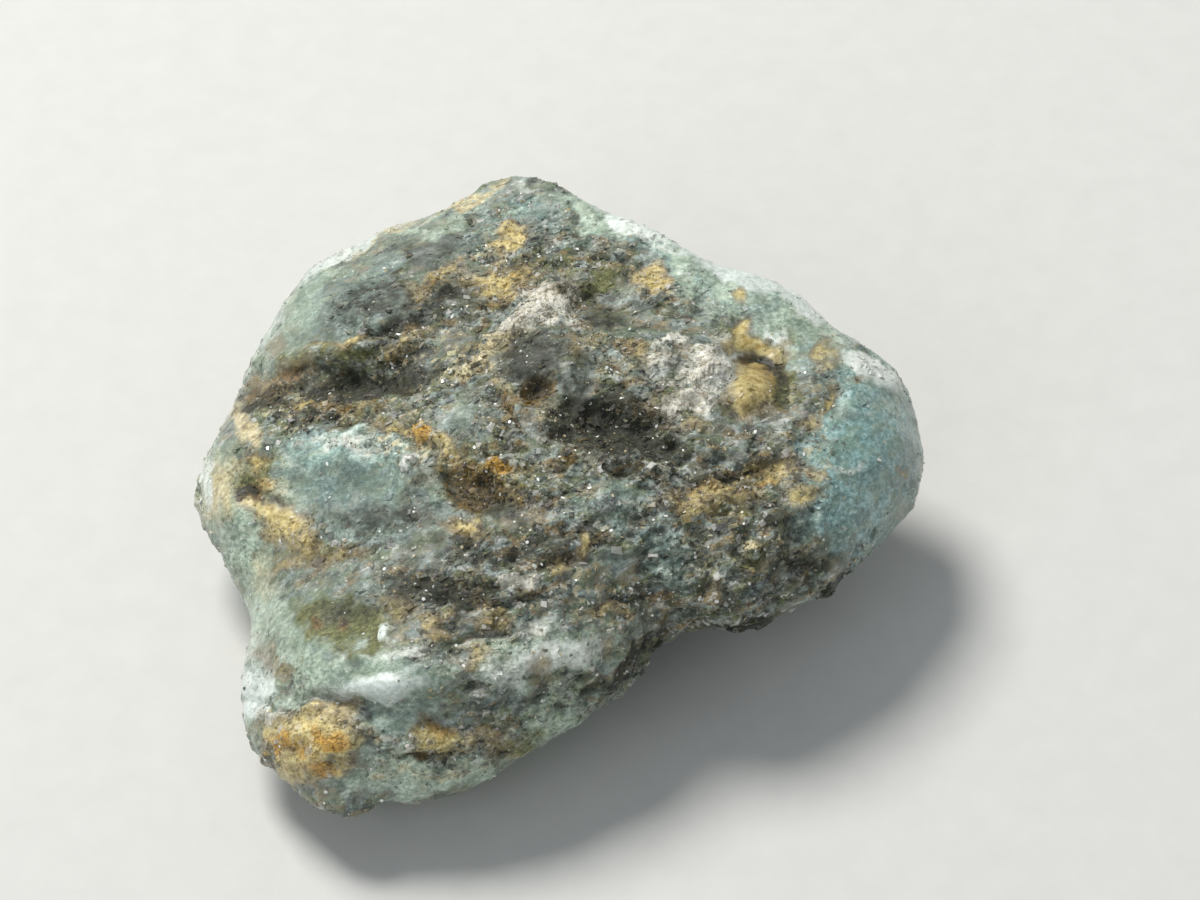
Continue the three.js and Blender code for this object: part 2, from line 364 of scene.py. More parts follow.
# White marks: the white crust and beads, and painted highlights: the sheen on the ledge, the streaks and
# glint on the lobe, and the strip along the upper right edge
whiteAndHighlightSpots = {
    "crest": (545, 308, 38, 16, 34, 1.0),
    "crest foot": (516, 326, 18, 8, 30, 0.8),
    "crest east": (566, 318, 14, 8, -30, 0.8),
    "crust": (655, 362, 18, 22, 15, 0.55),
    "crust east": (714, 368, 34, 20, 0, 1.0),
    "crust back": (668, 342, 18, 9, 20, 0.8),
    "crust front": (690, 400, 36, 12, 14, 0.9),
    "crust corner": (722, 342, 12, 14, 0, 0.8),
    # painted highlight on the top of the ledge
    "sheen": (348, 446, 54, 10, 0, 0.55),
    "left margin": (256, 688, 18, 19, 0, 1.0),
    "left margin band": (260, 714, 28, 8, -16, 1.0),
    # milky band with a painted highlight on it
    "lens band": (374, 689, 48, 13, 4, 1.0),
    "lens roof": (408, 655, 36, 6, 14, 0.6),
    "lens west": (262, 655, 12, 30, 0, 0.5),
    "bead 1": (436, 441, 9, 7, 0, 1.0),
    "bead 2": (411, 463, 8, 7, 0, 1.0),
    "bead 3": (546, 437, 6, 4, 0, 1.0),
    "bead 4": (517, 578, 14, 9, 0, 1.0),
    "bead 6": (385, 633, 8, 8, 0, 0.9),
    # painted highlights on the lobe
    "lobe streak": (868, 368, 38, 14, -38, 1.0),
    "beside the amber": (781, 338, 15, 5, -50, 0.7),
    "lobe glint": (845, 465, 20, 7, -15, 0.6),
    "lobe west streak": (862, 415, 20, 7, 0, 0.35),
    "apex": (528, 186, 22, 7, -20, 0.5),
    # painted highlight along the upper right edge
    "east edge": (640, 228, 46, 13, -28, 1.0),
    "east edge 2": (735, 266, 74, 15, -26, 1.0),
    "east edge 3": (800, 300, 34, 13, -30, 1.0),
    "shoulder crust": (262, 345, 60, 8, 62, 0.5),
    "shoulder crust top": (345, 248, 62, 12, 33, 0.9),
    "knob rim": (206, 480, 12, 30, 0, 0.7),
    "lower middle": (545, 660, 64, 18, 14, 0.75),
    "lower middle north": (540, 628, 30, 9, 10, 0.6),
    "lower middle west": (440, 662, 40, 6, 6, 0.35),
    "middle": (600, 455, 30, 10, -5, 0.5),
    "middle east": (650, 500, 40, 8, 10, 0.4),
    "lip corner": (656, 604, 9, 7, 0, 0.7),
    "lip": (715, 592, 26, 12, 0, 0.25),
}
ochreSpots = {
    "shoulder fleck": (503, 284, 30, 13, 8, 0.8),
    "shoulder fleck north": (508, 243, 18, 13, 10, 0.85),
    "behind the crest": (655, 283, 14, 12, 0, 1.0),
    "shoulder rim": (445, 272, 24, 8, 22, 0.65),
    "shoulder rim west": (412, 290, 14, 8, 20, 0.5),
    "cleft mouth": (272, 382, 26, 6, 5, 0.5),
    "cleft roof 1": (350, 340, 18, 5, 14, 0.6),
    "cleft roof 2": (300, 362, 12, 5, 0, 0.5),
    "cleft lip": (300, 408, 40, 5, 2, 0.7),
    "cleft lip east": (352, 402, 30, 6, 0, 0.6),
    "yellow grain": (370, 410, 10, 8, 0, 1.0),
    "below the cleft": (395, 428, 26, 5, 0, 0.6),
    "crest west": (402, 346, 28, 7, 26, 0.5),
    "crest north": (560, 292, 14, 7, 20, 0.4),
    "crust west": (635, 345, 9, 9, 0, 0.6),
    "crust south": (640, 408, 22, 9, -20, 0.55),
    "crust low": (690, 425, 30, 7, 12, 0.4),
    "amber recess": (759, 349, 28, 10, -8, 1.0),
    "amber recess peak": (746, 332, 9, 13, 0, 1.0),
    "amber grain": (752, 391, 21, 24, 0, 1.0),
    "edge fleck": (741, 293, 6, 6, 0, 0.8),
    "lobe fleck 1": (826, 353, 10, 13, 0, 0.8),
    "lobe fleck 2": (824, 400, 6, 18, -20, 0.85),
    "lobe fleck 3": (806, 424, 12, 9, 0, 0.7),
    "lobe fleck 4": (862, 384, 8, 6, 0, 0.5),
    "lobe fleck 5": (905, 470, 6, 5, 0, 0.6),
    "golden furrow": (703, 493, 36, 11, 16, 0.8),
    "golden furrow east": (768, 472, 26, 11, 24, 0.8),
    "golden furrow front": (690, 511, 28, 6, 0, 0.6),
    "golden furrow grain": (742, 499, 18, 7, 10, 0.6),
    "before the lobe": (802, 494, 15, 12, 0, 0.75),
    "before the lobe north": (812, 468, 9, 8, 0, 0.6),
    "knob crown": (256, 462, 14, 8, 0, 0.6),
    "knob foot": (286, 524, 32, 18, -26, 0.9),
    "knob foot west": (262, 508, 18, 9, 0, 0.9),
    "knob foot south": (300, 543, 22, 14, -10, 0.7),
    "knob foot end": (288, 564, 16, 7, 0, 0.5),
    "streak below": (332, 562, 24, 7, 8, 0.5),
    "bead band": (446, 445, 18, 9, 0, 0.8),
    "fleck 1": (462, 528, 24, 8, -15, 0.9),
    "fleck 2": (404, 607, 17, 11, 0, 0.75),
    "fleck 3": (432, 626, 9, 8, 0, 0.7),
    "fleck 4": (440, 637, 10, 7, 0, 0.6),
    "fleck 5": (481, 655, 13, 8, 0, 0.65),
    "fleck 6": (495, 622, 13, 9, 0, 0.7),
    "fleck 7": (464, 667, 9, 7, 0, 0.5),
    "fleck 8": (580, 545, 8, 13, 0, 0.7),
    "fleck 9": (560, 562, 8, 14, 0, 0.6),
    "fleck 10": (605, 611, 14, 7, 10, 0.7),
    "fleck 11": (603, 650, 6, 12, 0, 0.5),
    "fleck 12": (540, 668, 12, 12, 0, 0.5),
    "fleck 13": (575, 345, 8, 12, 10, 0.5),
    "bottom crust": (318, 735, 34, 26, 20, 1.0),
    "bottom crust south": (300, 765, 26, 16, 15, 0.9),
    "bottom crust west": (278, 735, 16, 16, 0, 0.8),
    "bottom crust east": (338, 758, 14, 16, 0, 0.7),
    "bottom tan": (438, 742, 22, 15, 0, 0.8),
    "bottom tan east": (486, 740, 26, 14, 0, 0.5),
    "lens corner": (268, 652, 8, 12, 0, 0.4),
    "left margin": (280, 672, 14, 8, -20, 0.6),
    "shoulder edge": (278, 345, 8, 12, 0, 0.4),
}
amberSpots = {
    "amber grain": (758, 380, 18, 14, 0, 0.45),
    "amber recess": (757, 350, 24, 8, 0, 0.3),
    "orange bead": (420, 435, 11, 11, 0, 1.0),
    "bottom north": (330, 740, 14, 10, 0, 1.0),
    "bottom west": (283, 744, 12, 10, 0, 0.9),
    "bottom south": (318, 768, 18, 8, 0, 0.8),
    "bottom middle": (302, 752, 12, 10, 0, 0.6),
    "knob foot": (302, 530, 13, 11, 0, 0.45),
    "knob pit": (262, 482, 12, 8, 20, 0.5),
    "rusty hollow": (500, 467, 19, 9, -10, 1.0),
    "rusty hollow west": (455, 470, 10, 14, 0, 0.5),
    "shoulder fleck": (518, 280, 12, 9, 0, 0.5),
    "cleft mouth": (290, 378, 18, 5, 0, 0.5),
    "cleft roof": (322, 346, 16, 6, 10, 0.4),
    "cleft floor": (355, 400, 26, 5, 0, 0.5),
    "furrow": (705, 487, 26, 6, 14, 0.6),
    "before the lobe": (762, 484, 14, 6, 20, 0.5),
    "lobe fleck": (826, 400, 4, 12, -20, 0.5),
    "bottom tan": (445, 732, 16, 8, 0, 0.5),
    "lens spot": (345, 622, 7, 6, 0, 0.5),
}
rustSpots = {
    "cleft mouth": (272, 394, 32, 9, 6, 1.0),
    "cleft mouth roof": (288, 374, 28, 9, 10, 0.8),
    "cleft corner": (256, 408, 16, 7, 0, 0.9),
    "cleft floor": (345, 404, 28, 5, 0, 0.8),
    "cleft end": (398, 387, 24, 8, 0, 0.7),
    "dome pit": (536, 391, 17, 13, 0, 1.0),
    "dome pit halo": (520, 398, 24, 18, 0, 0.5),
    "crack": (511, 412, 24, 4, -58, 1.0),
    "rusty hollow": (476, 487, 38, 26, -12, 0.9),
    "rusty hollow heart": (470, 500, 20, 10, 0, 1.0),
    "rusty hollow east": (520, 500, 24, 10, -20, 0.6),
    "bead south": (440, 462, 12, 16, -20, 0.5),
    # painted shadow line under the amber recess, in brown
    "amber socket": (762, 366, 26, 6, 0, 1.0),
    "amber grain top": (756, 374, 20, 9, 0, 0.5),
    "amber grain": (754, 394, 20, 22, 0, 0.4),
    "amber socket east": (782, 366, 9, 18, 0, 0.4),
    "furrow floor": (745, 477, 26, 5, 12, 0.9),
    "furrow west": (700, 487, 18, 5, 10, 0.5),
    "knob pit": (252, 494, 15, 11, 15, 0.9),
    "bottom line": (420, 757, 20, 4, 8, 1.0),
    "bottom brown": (480, 750, 26, 10, 0, 0.55),
    "lens spot": (345, 622, 7, 7, 0, 1.0),
    "lens spot west": (318, 622, 6, 6, 0, 0.9),
    "bottom brown west": (441, 728, 20, 7, 0, 0.5),
    "bottom east": (520, 733, 16, 8, 0, 0.4),
    "bottom crust": (300, 768, 14, 5, 10, 0.5),
    "middle": (569, 456, 10, 12, 0, 0.6),
    "shoulder": (425, 284, 12, 8, 0, 0.6),
    "hollow rim": (640, 408, 18, 8, -30, 0.6),
    "crust foot": (662, 418, 20, 6, 0, 0.5),
    "west of the crest": (380, 342, 20, 8, 20, 0.4),
}
oliveSpots = {
    "behind the crest": (592, 285, 30, 15, 0, 0.8),
    "amber side": (787, 374, 14, 30, 0, 1.0),
    "lens cap": (346, 620, 46, 24, -4, 1.0),
    "lens cap east": (372, 640, 20, 14, 0, 0.7),
    "lower east": (560, 705, 56, 12, 22, 0.35),
    "cleft roof": (330, 352, 60, 14, 6, 0.55),
    "cleft end": (402, 384, 22, 9, 0, 0.8),
    "cleft lip": (375, 420, 40, 8, 0, 0.6),
    "knob": (257, 476, 24, 20, 0, 0.9),
    "green grain": (749, 552, 10, 6, 0, 1.0),
    "middle grain": (625, 545, 16, 8, 0, 0.7),
    "front": (520, 735, 28, 14, 20, 0.6),
    "fleck": (475, 665, 14, 7, 0, 0.5),
    "amber north": (735, 330, 18, 16, 0, 0.5),
    "hollow edge": (570, 360, 16, 18, 0, 0.4),
    "middle west": (570, 470, 26, 16, 0, 0.35),
    "rust surround": (480, 480, 56, 38, -10, 0.6),
    "left flank": (262, 640, 10, 18, 10, 0.35),
    "knob foot": (320, 548, 22, 16, 0, 0.5),
    "shoulder rim": (420, 280, 34, 12, 20, 0.5),
    "furrow": (740, 505, 50, 14, 12, 0.5),
    "right low": (740, 560, 70, 18, 6, 0.35),
}
beigeSpots = {
    "crest line": (492, 354, 46, 7, 32, 1.0),
    "crest line west": (465, 372, 32, 8, 14, 0.8),
    "crest": (530, 318, 48, 16, 34, 0.8),
    "cream fleck": (505, 243, 20, 14, 10, 1.0),
    "behind the crest": (655, 283, 18, 15, 0, 1.0),
    "beside the pit": (505, 385, 18, 9, -20, 0.6),
    "below the pit": (548, 412, 14, 10, 20, 0.7),
    "dome": (575, 345, 9, 13, 0, 0.5),
    "crust": (640, 365, 16, 16, 0, 0.5),
    "amber grain": (747, 398, 13, 13, 0, 0.25),
    "knob": (218, 490, 24, 36, 0, 0.75),
    "crust front": (665, 398, 30, 10, 20, 0.5),
    "apex crust": (470, 199, 56, 5, 26, 0.8),
    "shoulder crust": (372, 243, 55, 5, 34, 0.7),
    "shoulder crust low": (243, 425, 10, 30, 26, 0.9),
    "knob crown": (232, 470, 18, 18, 0, 0.5),
    "knob east": (272, 488, 28, 22, -20, 0.5),
    "knob foot": (284, 524, 34, 22, -24, 0.6),
    "under the knob": (262, 572, 20, 30, 0, 0.5),
    "green grain rim": (748, 543, 9, 3, 5, 1.0),
    "lip west": (432, 772, 60, 8, 3, 0.5),
    "bead band": (430, 450, 24, 10, 0, 0.5),
    "bottom crust": (338, 716, 24, 20, 0, 0.95),
    "bottom crust heart": (306, 750, 28, 20, 20, 0.8),
    "bottom crust south": (290, 775, 24, 10, 10, 0.7),
}
# Parts of the upper face that are worn smooth
smoothSpots = {
    "shoulder": (300, 310, 95, 48, 58, 1.0),
    "shoulder east": (395, 250, 95, 34, 24, 0.95),
    "shoulder pool": (370, 300, 50, 28, 20, 0.6),
    "knob": (226, 500, 40, 60, 0, 1.0),
    "knob east": (275, 500, 36, 34, 0, 0.9),
    "left flank": (268, 600, 44, 80, 0, 1.0),
    "left margin": (244, 700, 34, 70, 0, 1.0),
    "lens": (328, 630, 104, 66, -10, 1.0),
    "lens band": (372, 682, 84, 30, 0, 1.0),
    "lower middle": (545, 655, 86, 36, 12, 0.7),
    "lower middle west": (440, 674, 66, 22, 8, 0.55),
    "front hollow": (400, 715, 70, 20, 4, 0.8),
    "ledge": (340, 488, 105, 42, 0, 0.95),
    "edge strip": (728, 262, 150, 36, -27, 1.0),
    "edge strip back": (600, 204, 70, 22, -24, 1.0),
    "apex edge": (490, 185, 70, 16, 10, 1.0),
    "top left edge": (400, 215, 90, 22, 27, 1.0),
    "left edge": (236, 420, 22, 60, -25, 1.0),
    "east": (812, 330, 66, 44, -30, 0.95),
    "lobe": (880, 445, 80, 110, 0, 1.0),
    "lobe wall": (880, 550, 50, 30, 35, 0.8),
    "amber grain": (756, 366, 34, 52, 0, 1.0),
    "boss": (456, 424, 24, 26, 0, 0.7),
    "bead band": (425, 445, 26, 12, -10, 0.6),
    "middle boss": (610, 495, 34, 20, 0, 0.6),
    "front left": (300, 790, 80, 26, -8, 0.9),
    "front lip": (430, 785, 90, 18, 4, 0.8),
    "front east": (540, 735, 60, 18, 30, 0.6),
    "dome": (545, 362, 46, 28, 10, 0.75),
    "bottom crust": (312, 745, 40, 36, 0, 0.4),
}
# Where small cream and honey crystals have gathered
crystalSpots = {
    "cleft lip": (330, 410, 92, 12, 2, 1.0),
    "cleft mouth": (285, 388, 40, 14, 4, 0.8),
    "cleft end": (420, 360, 50, 14, 22, 0.8),
    "bead band": (425, 446, 40, 24, -20, 1.0),
    "crest line": (500, 345, 60, 14, 32, 0.6),
    "crest": (548, 305, 40, 18, 30, 0.5),
    "shoulder rim": (460, 275, 60, 16, 14, 0.7),
    "behind the crust": (610, 345, 30, 30, 0, 0.5),
    "golden furrow": (720, 494, 62, 18, 14, 0.9),
    "before the lobe": (806, 440, 20, 60, 10, 0.6),
    "knob foot": (290, 530, 40, 18, -22, 0.5),
    "rusty hollow": (480, 470, 60, 30, -10, 0.5),
    "flecks": (460, 615, 70, 34, 0, 0.55),
    "flecks east": (590, 600, 40, 50, 0, 0.5),
    "right low": (740, 550, 70, 30, 4, 0.4),
    "tan": (450, 740, 60, 16, 0, 0.5),
}
# Fine relief of the upper face: x, y, half length, half width, turn, rise in mm
fineRelief = {
    "cleft": (348, 384, 98, 22, 4, -0.06),
    "cleft floor": (356, 387, 70, 8, 3, -0.2),
    "roof of the cleft": (340, 352, 90, 12, 7, 0.22),
    "lip of the cleft": (335, 416, 86, 7, 1, 0.2),
    "step of the ledge": (345, 436, 60, 6, 0, 0.12),
    "knob pit": (250, 493, 10, 8, 20, 0.06),
    "knob crease": (277, 498, 12, 4, -35, -0.06),
    "knob foot": (290, 526, 34, 16, -24, 0.1),
    "dome": (548, 360, 44, 28, 10, 0.2),
    "boss": (456, 424, 24, 24, 0, 0.14),
    "middle boss": (610, 495, 34, 18, 0, 0.12),
    "dome pit": (537, 392, 12, 10, 0, -0.36),
    "crack": (511, 413, 24, 3.5, -58, -0.28),
    "hollow floor": (605, 428, 52, 22, -8, -0.36),
    "hollow front": (646, 447, 36, 9, -5, -0.22),
    "hollow lip": (620, 462, 60, 7, -8, 0.14),
    "crest": (545, 308, 48, 14, 34, 0.2),
    "crest line": (490, 352, 66, 8, 34, 0.2),
    "above the crest line": (462, 334, 60, 12, 30, -0.14),
    "crust swell": (655, 360, 22, 24, 15, 0.2),
    "crust east": (712, 369, 26, 15, 0, 0.12),
    "amber socket": (762, 364, 26, 4, 0, -0.12),
    "amber side": (785, 384, 7, 26, 0, -0.14),
    "amber grain": (752, 391, 22, 25, 0, 0.24),
    "amber roof": (757, 341, 26, 15, 0, 0.1),
    "furrow floor": (733, 480, 46, 8, 14, 0.08),
    "furrow roof": (730, 468, 52, 6, 16, 0.14),
    "furrow foot": (715, 500, 44, 7, 10, 0.16),
    "rusty hollow": (474, 492, 34, 16, -18, -0.28),
    "rusty lip": (445, 470, 10, 34, -20, 0.12),
    "green grain": (749, 551, 10, 7, 0, 0.28),
    "middle grain": (625, 546, 14, 8, 0, 0.16),
    "beige plate": (404, 606, 17, 11, 0, 0.2),
    "bead 1": (436, 441, 9, 7, 0, 0.28),
    "bead 2": (411, 463, 8, 7, 0, 0.25),
    "bead 3": (420, 435, 10, 9, 0, 0.2),
    "bead 4": (517, 578, 14, 9, 0, 0.22),
    "bead 5": (385, 633, 8, 8, 0, 0.2),
    "bead 6": (370, 411, 10, 8, 0, 0.3),
    "bead 7": (360, 656, 7, 6, 0, 0.16),
    "lens cap": (342, 616, 50, 22, -4, -0.05),
    "lens band": (370, 686, 56, 10, 0, 0.16),
    "lens foot": (326, 701, 62, 5, -8, -0.05),
    "bottom crust": (312, 742, 42, 34, 0, 0.1),
    "bottom crust dent": (300, 752, 12, 9, 0, -0.14),
    "bottom crust west": (282, 738, 13, 14, 0, 0.1),
    "bottom crust east": (330, 738, 14, 20, 0, 0.12),
    "under the rim": (760, 624, 76, 8, 12, -0.3),
    "under the rim east": (850, 580, 44, 8, 38, -0.3),
    "rim lump 1": (690, 598, 16, 10, -10, 0.14),
    "rim lump 2": (745, 602, 16, 9, 0, 0.16),
    "rim lump 3": (800, 580, 18, 9, 15, 0.12),
    "rim notch 1": (716, 612, 5, 9, 0, -0.2),
    "rim notch 2": (776, 598, 5, 9, 0, -0.2),
    "rim notch 3": (828, 566, 5, 9, 20, -0.18),
    "bottom crust north": (328, 708, 22, 9, 0, 0.12),
    "left margin furrow": (262, 703, 24, 4, -18, -0.16),
    "bottom line": (425, 757, 26, 3.5, 6, -0.16),
    "tan swell": (440, 742, 22, 11, 0, 0.1),
    "lip lump": (715, 597, 30, 16, 0, 0.16),
    "behind the crest": (600, 300, 34, 20, 0, -0.12),
    "shoulder foot": (400, 326, 34, 9, 22, -0.2),
    "front furrow 1": (560, 690, 60, 5, 25, -0.1),
    "front furrow 2": (470, 640, 60, 4, 10, -0.1),
    "front furrow 3": (520, 600, 70, 4, 12, -0.1),
    "front furrow 4": (600, 560, 60, 4, 6, -0.08),
    "lobe dimple": (835, 395, 12, 26, -10, -0.12),
    "lobe crown": (875, 372, 30, 12, -36, 0.1),
}
# The rock splits along sheets: the grain runs a little up to the right across the upper face
grain = {
    "rise": 16.0,          # degrees, as seen
    "stretch": 1.5,        # how much longer than wide
}
# Roughness of the raw parts: rise in mm, then the size of its noise in mm and the shift
roughness = {
    "broad": (0.07, 1.7, 2.0),
    "middle": (0.09, 0.8, 7.0),
    "fine": (0.08, 0.42, 12.0),
    "finest": (0.055, 0.3, 19.0),
    "crust": (0.04, 0.35, 71.0),     # more of it on the raw ochre
    "onSmooth": 0.09,      # share of it on the worn parts
}
# Each kind of marking: its places, px that its edges wander, how gently it fades out
markings = {
    "pale": (paleSpots, 14, 0.8),
    "teal": (tealSpots, 14, 0.8),
    "aqua": (aquaSpots, 10, 0.7),
    "dark": (darkAndShadeSpots, 6, 0.65),
    "white": (whiteAndHighlightSpots, 7, 0.7),
    "ochre": (ochreSpots, 6, 0.8),
    "amber": (amberSpots, 5, 0.8),
    "rust": (rustSpots, 5, 0.75),
    "olive": (oliveSpots, 12, 0.8),
    "beige": (beigeSpots, 7, 0.75),
    "worn": (smoothSpots, 12, 0.7),
    "crystals": (crystalSpots, 12, 0.6),
}
# The same kinds where the picture doesn't show the stone:
# noise size in mm, its shift, where they start and are full, share of the flecks added, strength
hiddenMarkings = {
    "aqua": (5.0, 13.0, 0.2, 0.6, 0, 0.8),
    "dark": (2.6, 21.0, 0.25, 0.7, 0.2, 0.6),
    "white": (1.4, 33.0, 0.42, 0.7, 0, 0.8),
    "ochre": (2.2, 41.0, 0.35, 0.8, 0.4, 0.8),
    "amber": (1.8, 44.0, 0.55, 0.9, 0, 0.6),
    "rust": (2.0, 47.0, 0.45, 0.85, 0, 0.7),
    "olive": (2.9, 55.0, 0.3, 0.6, 0, 0.7),
    "beige": (1.9, 61.0, 0.5, 0.8, 0, 0.6),
    "crystals": (2.4, 66.0, 0.2, 0.6, 0, 0.7),
}
# Noises of the pale, teal and worn parts there, and of the flecks: size in mm, shift
hiddenNoise = {
    "broad": (7.0, 1.3),
    "mottle": (3.2, 4.7),
    "flecks": (1.7, 9.2),
}
# The noise that gathers the loose pieces: size in mm, shift, where it starts and is full
gathering = {
    "clumps": (1.1, 81.0, -0.35, 0.55),
    "sheets": (0.8, 88.0, -0.2, 0.6),
}
# Where the loose pieces lie
strewing = {
    "clearOfGround": (0.05, 0.25),    # mm above it at which the pieces start and are full
    "grainsBetween": 0.35,     # share of the grains that lies between their clumps
    "flakesBetween": 0.15,     # share of the flakes that lies between their sheets
    "flakesOnWorn": 0.05,
    "flakesOffOchre": 0.7,     # share of the flakes that the ochre takes away
    "fibresOnWhite": 0.8,
    "fibresOnBeige": 0.4,
    "fibresOnRaw": 0.08,
}
# How much each kind of marking brings of the crumbs
crumbsOn = {
    "ochre": 0.5, "rust": 0.3, "beige": 0.4, "white": 0.8, "crystals": 0.5,
}


grainTurn = math.radians(grain["rise"])
right = np.array((1.0, 0.0, 0.0))
alongGrain = right * math.cos(grainTurn) + sightUp * math.sin(grainTurn)
acrossGrain = sightUp * math.cos(grainTurn) - right * math.sin(grainTurn)


def grainPoints(points):
    along = points @ alongGrain / grain["stretch"]
    return np.stack((along, points @ acrossGrain, points @ toCamera), axis=1)


def setMask(mesh, name, values):
    attribute = mesh.attributes.new(name, "FLOAT", "POINT")
    attribute.data.foreach_set("value", np.clip(values, 0, 1).astype(np.float32))


def markStone(bare, seen):
    # the picture's markings where it shows the stone, and noise of the same kinds and sizes elsewhere
    x, y = pictureXY(bare)
    driftX = np.zeros(len(bare))
    driftY = np.zeros(len(bare))
    for size, share in zip(skin["wanderSizes"], skin["wanderShares"]):
        driftX += share * waves(bare, size, 3.1)
        driftY += share * waves(bare, size, 17.7)
    broad = waves(bare, *hiddenNoise["broad"])
    mottle = waves(bare, *hiddenNoise["mottle"])
    flecks = waves(bare, *hiddenNoise["flecks"])
    hidden = {
        "pale": smoothStep(0.1, 0.5, broad + 0.4 * mottle),
        "teal": smoothStep(0.0, 0.5, -broad + 0.4 * flecks) * 0.8,
        "worn": smoothStep(0.0, 0.4, broad),
    }
    for name, (size, shift, low, high, fleckShare, strength) in hiddenMarkings.items():
        hidden[name] = smoothStep(low, high, waves(bare, size, shift) + fleckShare * flecks) * strength
    masks = {}
    for name, (spots, wander, soft) in markings.items():
        marked = spotsAt(spots, x + wander * driftX, y + wander * driftY, soft)
        masks[name] = seen * marked + (1 - seen) * hidden[name]
    bosses = smoothStep(*skin["bossesFrom"], waves(bare, *skin["bossNoise"])) * skin["bosses"]
    masks["worn"] = np.maximum(masks["worn"], bosses * (1 - masks["ochre"]) * (1 - masks["white"]))
    wander = skin["reliefWander"]
    bumps = bumpsAt(fineRelief, x + wander * driftX, y + wander * driftY)
    return masks, bumps


def gathered(kind, points):
    size, shift, low, high = gathering[kind]
    return smoothStep(low, high, waves(points, size, shift))


def uneven(kind, pattern, points):
    rise, size, shift = roughness[kind]
    return rise * pattern(points, size, shift)


def placesForPieces(masks, flow, height):
    # how thickly the loose pieces lie: on the raw parts, clear of the ground
    lifted = smoothStep(*strewing["clearOfGround"], height)
    raw = (1 - masks["worn"]) * lifted
    between = strewing["grainsBetween"]
    masks["grainShare"] = raw * (between + (1 - between) * gathered("clumps", flow))
    between = strewing["flakesBetween"]
    flakes = raw * (between + (1 - between) * gathered("sheets", flow)) + strewing["flakesOnWorn"] * lifted
    masks["flakeShare"] = flakes * (1 - strewing["flakesOffOchre"] * masks["ochre"])
    masks["crumbShare"] = raw * sum(share * masks[kind] for kind, share in crumbsOn.items())
    fibres = strewing["fibresOnWhite"] * masks["white"] * raw
    fibres += strewing["fibresOnBeige"] * masks["beige"] * lifted
    masks["fibreShare"] = fibres + strewing["fibresOnRaw"] * raw


def shapeStone():
    mesh = fineMesh()
    bare = smoothed(mesh, pointsOf(mesh), skin["evenPasses"])
    setPoints(mesh, bare)
    normals = normalsOf(mesh)
    facing = normals @ toCamera
    masks, bumps = markStone(bare, smoothStep(*skin["marksFrom"], facing))
    flow = grainPoints(bare)
    rough = 1 - masks["worn"] * (1 - roughness["onSmooth"])
    rise = uneven("broad", waves, flow) + uneven("middle", ridges, flow)
    rise += uneven("fine", waves, flow) + uneven("finest", ridges, bare)
    rise *= rough * 2 * (1 - 0.5 * masks["ochre"])
    rise += smoothStep(*skin["reliefFrom"], facing) * bumps
    crust, size, shift = roughness["crust"]
    rise += crust * masks["ochre"] * (1 - masks["worn"]) * waves(bare, size, shift)
    shaped = bare + normals * (rise * mm)[:, None]
    level = bare[:, 2] < skin["levelBelow"] * mm
    shaped[:, 2] = np.where(level, 0.0, np.maximum(shaped[:, 2], 0.0))
    setPoints(mesh, shaped)

    placesForPieces(masks, flow, shaped[:, 2] / mm)
    for name, values in masks.items():
        setMask(mesh, name, values)
    # how deep each point lies in a crevice, which sets the painted shade there
    flat = smoothed(mesh, shaped, skin["creviceWidth"])
    hollow = np.einsum("ij,ij->i", flat - shaped, normalsOf(mesh)) / mm
    setMask(mesh, "crevice", smoothStep(0.0, skin["creviceDepth"], hollow))
    stone = bpy.data.objects.new("stone_skin", mesh)
    bpy.context.collection.objects.link(stone)
    return stone


stone = shapeStone()
print("  points", len(stone.data.vertices), "faces", len(stone.data.polygons))


def linear(screenColor):
    out = []
    for channel in screenColor:
        c = channel / 255
        out.append(c / 12.92 if c <= 0.04045 else ((c + 0.055) / 1.055) ** 2.4)
    return (*out, 1.0)


